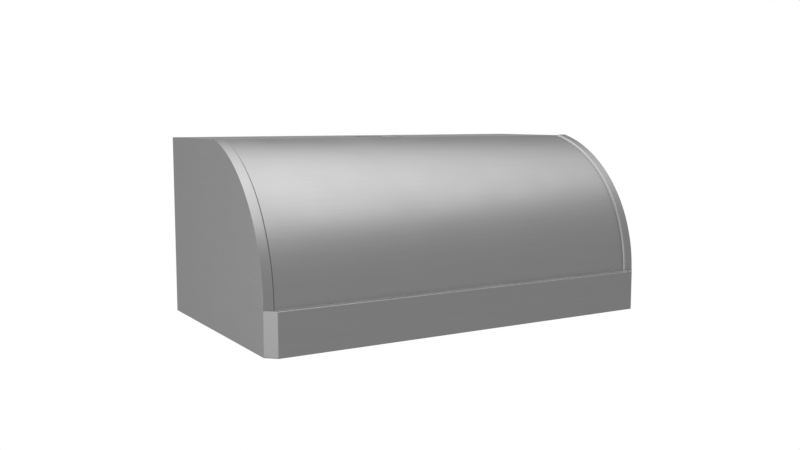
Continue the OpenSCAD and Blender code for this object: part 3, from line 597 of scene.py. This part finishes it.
rail = from_solid("front_rail", "front_rail_folded")
print("rail folds", round_folds(rail, on_rail_upright, radius_mm=1.8),
      round_folds(rail, on_rail_top, radius_mm=1.5, steps=5),
      round_folds(rail, on_rail_bottom, radius_mm=1.8))
open_whole(rail)
bpy.ops.mesh.dissolve_degenerate(threshold=SLIVER)
close()
break_edges(rail, 0.2)
finish_piece(rail, canopy_steel)
# The ledge's faces take the steel that is painted lighter: painted light on the ledge under the
# barrel.
finish_some(rail, ledge_steel_painted_lighter, is_ledge)

for node_name, name in (("barrel_skin", "barrel_skin_rolled"),
                        ("top_panel", "top_panel_cut"),
                        ("back_panel", "back_panel_cut"),
                        ("control_deck", "control_deck_folded"),
                        ("rear_filter_rail", "rear_filter_rail_folded"),
                        ("grease_tray", "grease_tray_folded")):
    panel = from_solid(node_name, name)
    break_edges(panel, 0.25)
    finish_piece(panel, FINISH_OF_SLOT[slot_of[node_name]])

# %% [markdown]
# ## Turned pieces
# Knobs, lenses, screw heads and rivets are all turned: a circle is drawn out along its axis step by
# step, and each step takes a new radius. The helper works in millimetres from the piece's own foot,
# and the finished piece is then turned and moved to its place.

# %% Turn a piece from its profile
def fix():
    """Writes the active piece's place, turn and scale into its mesh."""
    bpy.ops.object.transform_apply(location=True, rotation=True, scale=True)


def turned(name, profile, sides=64):
    """A closed round piece from its (radius, height) steps in mm, along +Z from the origin."""
    radius, height = profile[0]
    bpy.ops.mesh.primitive_circle_add(vertices=sides, radius=radius * MM, fill_type="NGON",
                                      location=(0, 0, height * MM))
    piece = bpy.context.object
    piece.name = name
    open_whole(piece)
    for next_radius, next_height in profile[1:]:
        rise = (0, 0, (next_height - height) * MM)
        bpy.ops.mesh.extrude_region_move(TRANSFORM_OT_translate={"value": rise})
        share = next_radius / radius
        bpy.ops.transform.resize(value=(share, share, 1),
                                 center_override=(0, 0, next_height * MM))
        radius, height = next_radius, next_height
    bpy.ops.mesh.select_all(action="SELECT")
    bpy.ops.mesh.normals_make_consistent(inside=False)
    close()
    fix()
    return piece


def box(name, low, high):
    """A plain block between two corners in mm."""
    middle = [(a + b) / 2 * MM for a, b in zip(low, high)]
    bpy.ops.mesh.primitive_cube_add(size=1, location=middle)
    piece = bpy.context.object
    piece.name = name
    piece.scale = [(b - a) * MM for a, b in zip(low, high)]
    fix()
    return piece


def combine(piece, other, how):
    """Joins, cuts or keeps the overlap of two closed pieces, and drops the second one."""
    alone(piece)
    mix = piece.modifiers.new("combined", "BOOLEAN")
    mix.operation, mix.object, mix.solver = how, other, "EXACT"
    bpy.ops.object.modifier_apply(modifier=mix.name)
    bpy.data.objects.remove(other)


def put(piece, place, turn=(0, 0, 0)):
    """Turns and moves a finished piece and fixes that into its mesh."""
    piece.location, piece.rotation_euler = place, turn
    alone(piece)
    fix()


def join(name, pieces):
    """Makes several pieces one."""
    bpy.ops.object.select_all(action="DESELECT")
    for piece in pieces:
        piece.select_set(True)
    bpy.context.view_layer.objects.active = pieces[0]
    bpy.ops.object.join()
    pieces[0].name = name
    return pieces[0]


def hand_over(piece, node_name, material, replace=True):
    """The piece rides with a node's body, takes the finish it is given and, if told so, the node's
    place.
    """
    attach(piece, frame["nodes"][node_name]["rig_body"])
    if replace:
        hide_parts(node_name)
    finish_piece(piece, material)


print("speed knob at", [round(c, 4) for c in middle_of("speed_knob")])

# %% [markdown]
# ## Knobs and dials
# A knob is a moulded skirt with fine flutes, a tapered body and a rounded grip bar, with a white
# line at the front of the bar. It hangs under the deck, so it is turned upside down. At rest it
# points to the front, which is OFF. The dials are printed on the deck: OFF and three speeds at the
# fan, OFF and a wedge of growing dots at the dimmer. They are read from below by someone who looks
# up, so their tops point to the front.

# %% Model the knobs
DECK_Z = 0.0608
KNOB_R = 19
KNOB_FOOT = 2
KNOB_H = 20
KNOB_SIDES = 96
KNOB_PROFILE = ((-0.6, 0), (0, 0.6), (0, 4.6), (-0.5, 5.5), (-1.6, 6), (-2.9, 14), (-3.7, 15.1),
                (-5, 15.5))
SIDES_PER_FLUTE = 3
FLUTE_SHARE = 0.972
KNOB_TOP = KNOB_FOOT + KNOB_H
BAR_REACH = KNOB_R - 2.2
BAR = ((-4, -BAR_REACH, KNOB_FOOT + 5), (4, BAR_REACH, KNOB_TOP))
BAR_ENDS = ((BAR_REACH, KNOB_FOOT + 4), (BAR_REACH, KNOB_FOOT + 15),
            (BAR_REACH - 1.2, KNOB_TOP - 1), (BAR_REACH - 2.4, KNOB_TOP))
LINE = ((-0.7, 5.5, KNOB_TOP - 0.3), (0.7, 13.2, KNOB_TOP + 0.05))
UPSIDE_DOWN = (math.pi, 0, 0)
print_white = clouded("pad_printed_white_ink", "#E6E6E2", 0.5, metallic=0.0, spread=0.02)
print_black = clouded("screen_printed_black_ink", "#1E1E1E", 0.55, metallic=0.0, spread=0.02)


def is_flute(corner):
    """Whether a corner of the knob's skirt is at the bottom of a flute."""
    step = round(math.degrees(math.atan2(corner.co.y, corner.co.x)) / (360 / KNOB_SIDES))
    on_rim = corner.co.xy.length > (KNOB_R - 0.05) * MM
    return on_rim and step % SIDES_PER_FLUTE == 0


def knob(node_name, name):
    """A knob and its line. It stands on its skirt until it is turned over."""
    profile = [(KNOB_R + out, KNOB_FOOT + up) for out, up in KNOB_PROFILE]
    body = turned(name, profile, KNOB_SIDES)
    open_chosen(body, "VERT", is_flute)
    bpy.ops.transform.resize(value=(FLUTE_SHARE, FLUTE_SHARE, 1), center_override=(0, 0, 0))
    close()
    bar = box("grip_bar", *BAR)
    combine(bar, turned("bar_ends", BAR_ENDS, KNOB_SIDES), "INTERSECT")
    combine(body, bar, "UNION")
    break_edges(body, 0.45, steps=3, over=40)
    middle = middle_of(node_name)
    place = (middle.x, middle.y, DECK_Z)
    put(body, place, UPSIDE_DOWN)
    hand_over(body, node_name, knob_abs)
    line = box(name + "_line", *LINE)
    put(line, place, UPSIDE_DOWN)
    hand_over(line, node_name, print_white, replace=False)


knob("speed_knob", "speed_knob_moulded")
knob("light_knob", "light_knob_moulded")

# %% Print the dials
DIAL_R = 27
LETTER_MM = 6
INK_MM = 0.06
FAN_MARKS = (("OFF", 0), ("1", 90), ("2", 180), ("3", 270))
DOTS, FIRST_DOT, DOT_STEP = 9, 54, 27
DOT_R, DOT_GROWS = 0.5, 0.13
TURN_WAY = next(joint["axis"][2] for joint in frame["record"]["behaviour"]["joints"]
                if joint["name"] == "speed_knob_turn")


def around(node_name, degrees):
    """A place on a dial, as an angle from the front that grows the way the knob turns on."""
    middle = middle_of(node_name)
    angle = math.radians(degrees) * TURN_WAY
    return middle.x / MM + DIAL_R * math.sin(angle), middle.y / MM - DIAL_R * math.cos(angle)


def printed_words(words, place_mm):
    """Flat letters on the deck's underside, read from below with their tops to the front."""
    bpy.ops.object.text_add(rotation=UPSIDE_DOWN,
                            location=(place_mm[0] * MM, place_mm[1] * MM, DECK_Z))
    letters = bpy.context.object
    letters.name = "dial_" + words.lower()
    letters.data.body = words
    letters.data.size = LETTER_MM * MM
    letters.data.align_x, letters.data.align_y = "CENTER", "CENTER"
    letters.data.extrude = INK_MM * MM
    bpy.ops.object.convert(target="MESH")
    letters = bpy.context.object
    alone(letters)
    fix()
    return letters


def printed_dot(place_mm, radius_mm):
    dot = turned("dial_dot", [(radius_mm, -INK_MM), (radius_mm, INK_MM)], 24)
    put(dot, (place_mm[0] * MM, place_mm[1] * MM, DECK_Z))
    return dot


fan_dial = [printed_words(words, around("speed_knob", degrees)) for words, degrees in FAN_MARKS]
hand_over(join("fan_dial_print", fan_dial), "control_deck", print_black, replace=False)
lamp_dial = [printed_words("OFF", around("light_knob", 0))]
for i in range(DOTS):
    place_mm = around("light_knob", FIRST_DOT + DOT_STEP * i)
    lamp_dial.append(printed_dot(place_mm, DOT_R + DOT_GROWS * i))
hand_over(join("lamp_dial_print", lamp_dial), "control_deck", print_black, replace=False)

# %% [markdown]
# ## Lamps
# The lens is pressed glass. Rings pressed into it spread the light. The bezel's edges are rounded
# where a hand can touch them.

# %% Model the lamps
LENS_R = 28.8
LENS_RINGS = 9
LENS_FLAT = 5
RING_R0 = 1.5
RING_WALL = 0.4
LENS_FACE = -1.5
RING_DIP = -1.0
LENS_RIM = ((-2.2, LENS_FACE), (-0.4, -1.4), (0, RING_DIP), (0, 0.5), (-0.2, 0.7))


def ringed_lens(node_name, name):
    """A disc whose underside is pressed into rings, as heights from the deck in mm."""
    profile = [(RING_R0, LENS_FACE)]
    for i in range(1, LENS_RINGS):
        radius = RING_R0 + (LENS_R - LENS_FLAT) * i / LENS_RINGS
        profile += [(radius, RING_DIP), (radius + RING_WALL, LENS_FACE)]
    profile += [(LENS_R + out, up) for out, up in LENS_RIM]
    lens = turned(name, profile, 96)
    middle = middle_of(node_name)
    put(lens, (middle.x, middle.y, DECK_Z))
    bpy.ops.object.shade_smooth_by_angle(angle=math.radians(25))
    hand_over(lens, node_name, lens_glass)


for side in ("left", "right"):
    ringed_lens("lamp_lens_" + side, "lamp_lens_ringed_" + side)
    bezel = from_solid("lamp_bezel_" + side, "lamp_bezel_spun_" + side)
    break_edges(bezel, 0.35, steps=3, over=25)
    finish_piece(bezel, turned_steel)

# %% [markdown]
# ## Filters
# A baffle filter's channel and baffles are folded from thin sheet, so their folds are round and
# their cut edges blunt. The handle is a strap with a bend at each change of direction and a rivet
# through each foot.

# %% Model the filters
STRAP_W = 0.016
FOOT_LEAST, FOOT_MOST = 0.00025, 0.00045
RIVET = ((2.9, 0), (2.9, 0.25), (2.5, 0.75), (1.7, 1.1), (0.6, 1.25))


def is_strap_bend(handle):
    """A test for the edges across the strap, but for those at its two ends."""
    places = [corner.co.x for corner in handle.data.vertices]
    middle = sum(places) / len(places)
    reach = max(abs(x - middle) for x in places)
    return lambda a, b: (abs((a - b).length - STRAP_W) < 0.0004 and abs(a.x - b.x) < NEAR
                         and abs(a.x - middle) < reach - 0.001)


def foot_faces(handle):
    """The lower faces of a handle's feet, by their area in square metres."""
    return [(face.center.copy(), face.normal.copy()) for face in handle.data.polygons
            if face.normal.z < -0.9 and FOOT_LEAST < face.area < FOOT_MOST]


for place in ("left", "centre", "right"):
    for kind in ("frame", "baffles"):
        piece = from_solid(f"filter_{kind}_{place}", f"filter_{kind}_folded_{place}")
        break_edges(piece, 0.3)
        finish_piece(piece, canopy_steel)
    handle = from_solid("filter_handle_" + place, "filter_handle_bent_" + place)
    feet = foot_faces(handle)
    bends = round_folds(handle, is_strap_bend(handle), radius_mm=2.0, steps=5)
    break_edges(handle, 0.3)
    finish_piece(handle, turned_steel)
    rivets = []
    for middle, normal in feet:
        rivets.append(turned("rivet", RIVET, 32))
        put(rivets[-1], middle, normal.to_track_quat("Z", "Y").to_euler())
    print(place, "feet", len(feet), "bends", bends)
    heads = join("filter_rivets_" + place, rivets)
    alone(heads)
    bpy.ops.object.shade_smooth_by_angle(angle=SMOOTH_BELOW)
    hand_over(heads, "filter_handle_" + place, turned_steel, replace=False)

# %% [markdown]
# ## Top screws
# Ten countersunk screws with a cross recess hold the top panel. One is made, and the others are
# copies of its mesh, each left at a turn of its own.

# %% Model the screws
TOP_Z = box_of("top_panel")[1][2]
SCREW_PROFILE = ((0.8, -10), (2, -8.4), (2, -1.9), (3.75, -0.2), (3.9, 0))
RECESS = (((-2.2, -0.45, -1.4), (2.2, 0.45, 1)), ((-0.45, -2.2, -1.4), (0.45, 2.2, 1)))
TURN_EACH = 0.9


def cross_screw():
    """A countersunk screw whose head is flush at the origin and points up."""
    screw = turned("screw", SCREW_PROFILE, 48)
    for low, high in RECESS:
        combine(screw, box("slot", low, high), "DIFFERENCE")
    break_edges(screw, 0.08, over=40)
    return screw


def islands_of(node_name):
    """The middles, seen from above, of a node's separate solids."""
    solid = copy_of(frame["nodes"][node_name].data, "islands")
    open_whole(solid)
    bpy.ops.mesh.remove_doubles(threshold=WELD)
    bpy.ops.mesh.separate(type="LOOSE")
    close()
    middles = []
    for part in list(bpy.context.selected_objects):
        places = [corner.co for corner in part.data.vertices]
        middles.append([(min(p[i] for p in places) + max(p[i] for p in places)) / 2
                        for i in (0, 1)])
        bpy.data.objects.remove(part)
    return sorted(middles)


first = cross_screw()
screws = []
for k, (x, y) in enumerate(islands_of("panel_screws")):
    screws.append(copy_of(first.data, "screw_%d" % k))
    put(screws[-1], (x, y, TOP_Z), (0, 0, TURN_EACH * k))
bpy.data.objects.remove(first)
print("screws", len(screws))
hand_over(join("panel_screws_cross_recess", screws), "panel_screws", turned_steel)

# %% [markdown]
# ## Hidden pieces
# The blower's sheet metal, the boxes and the switches have cut or moulded edges too. Each is a copy
# of its solid with its edges broken by what its material allows: least on thin sheet, most on a
# moulding or a pressed can.

# %% Break the hidden pieces' edges
EDGE_MM = {
    "tray_runner_left": 0.25, "tray_runner_right": 0.25, "scroll_wrap": 0.2,
    "scroll_side_left": 0.25, "scroll_side_right": 0.25, "motor": 1.2, "motor_bracket": 0.4,
    "discharge_box": 0.25, "damper_flap_front": 0.15, "damper_flap_rear": 0.15,
    "outlet_collar": 0.25, "blower_brace_left": 0.4, "blower_brace_right": 0.4,
    "junction_box": 0.4, "junction_cover": 0.3, "run_capacitor": 1.0, "capacitor_clip": 0.2,
    "speed_switch": 0.8, "light_switch": 0.8, "lamp_housing_left": 0.4,
    "lamp_housing_right": 0.4, "wheel_hub": 0.3,
}
for node_name, width_mm in EDGE_MM.items():
    piece = from_solid(node_name, node_name + "_edges_broken")
    break_edges(piece, width_mm)
    finish_piece(piece, FINISH_OF_SLOT[slot_of[node_name]])

# %% [markdown]
# ## Floor and light
# The photograph's background is plain white. The hood hangs at its working height, 1.6 m over a
# pale floor. Seen straight, the floor is half paint and half white light: the paint keeps the
# hood's soft shadow. A few metres out it fades into the white of the backdrop. Seen from below,
# the floor isn't there, so that the underside can be looked at.

# %% Floor and world
FLOOR_Z = -1.6
FLOOR_SIZE = 40
SHADOW_REACH = 1.4
FADED_AT = 3.2
WHITE_NEAR = 0.5
WORLD_FILL = 0.7
WHITE = (1, 1, 1, 1)


def seen_directly(tree):
    """1 for the camera, reflections and glass, and 0 for light that surfaces throw about."""
    ray = add(tree, "LightPath")
    seen = ray.outputs["Is Camera Ray"]
    for kind in ("Is Glossy Ray", "Is Transmission Ray"):
        seen = add(tree, "Math", {0: seen, 1: ray.outputs[kind]}, operation="MAXIMUM").outputs[0]
    return seen


bpy.ops.mesh.primitive_plane_add(size=FLOOR_SIZE, location=(0, 0, FLOOR_Z))
floor = bpy.context.object
floor.name = "floor"
floor_paint, tree, paint, place = start("floor_pale_paint")
paint.inputs["Base Color"].default_value = linear("#C6C6C6")
paint.inputs["Roughness"].default_value = 0.9
distance = add(tree, "VectorMath", {0: place}, operation="LENGTH")
whiteness = add(tree, "MapRange", {"Value": distance.outputs["Value"], "From Min": SHADOW_REACH,
                                   "From Max": FADED_AT, "To Min": WHITE_NEAR, "To Max": 1.0})
share = add(tree, "Math", {0: seen_directly(tree), 1: whiteness.outputs["Result"]},
            operation="MULTIPLY")
white = add(tree, "Emission", {"Color": WHITE, "Strength": 1.0})
from_above = add(tree, "MixShader", {0: share.outputs[0], 1: paint.outputs[0],
                                     2: white.outputs[0]})
facing = add(tree, "NewGeometry")
both = add(tree, "MixShader", {0: facing.outputs["Backfacing"], 1: from_above.outputs[0],
                               2: add(tree, "BsdfTransparent").outputs[0]})
tree.links.new(both.outputs[0], tree.nodes["Material Output"].inputs["Surface"])
floor.data.materials.append(floor_paint)

world = bpy.data.worlds.new("studio")
bpy.context.scene.world = world
world.use_nodes = True
tree = world.node_tree
tree.nodes.clear()
level = add(tree, "MapRange", {"Value": seen_directly(tree), "To Min": WORLD_FILL, "To Max": 1.0})
sky = add(tree, "Background", {"Color": WHITE, "Strength": level.outputs["Result"]})
add(tree, "OutputWorld", {"Surface": sky.outputs[0]})
print("floor", FLOOR_Z, "world", world.name)

# %% [markdown]
# ## Lamps
# Two round soft boxes overhead, one inside the other, make the highlight along the barrel and let
# it fade towards the rail. Two square ones stand to the left, low, and face the hood: the front one
# lights the cut corner and the slope of the far hem, the back one the side.

# %% Lamps
HOOD_MIDDLE = Vector((0, 0, 0.25))
SOFT_BOXES = (
    ("soft_box_overhead", "DISK", (0, -0.2, 6.5), 14.0, 1150),
    ("soft_box_overhead_middle", "DISK", (0, 0, 6.4), 6.0, 62),
    ("soft_box_left_front", "SQUARE", (-3.4, -2.05, 0.2), 2.0, 36),
    ("soft_box_left_back", "SQUARE", (-2.1, 2.6, -0.1), 2.6, 27),
)
for name, shape, place, size, watts in SOFT_BOXES:
    bpy.ops.object.light_add(type="AREA", location=place, rotation=(0, 0, 0))
    lamp = bpy.context.object
    lamp.name = name
    if shape == "SQUARE":
        aim = (HOOD_MIDDLE - lamp.location).to_track_quat("-Z", "Y")
        lamp.rotation_euler = aim.to_euler()
    lamp.data.shape = shape
    lamp.data.size = size
    lamp.data.energy = watts
print("lamps", [name for name, *_ in SOFT_BOXES])
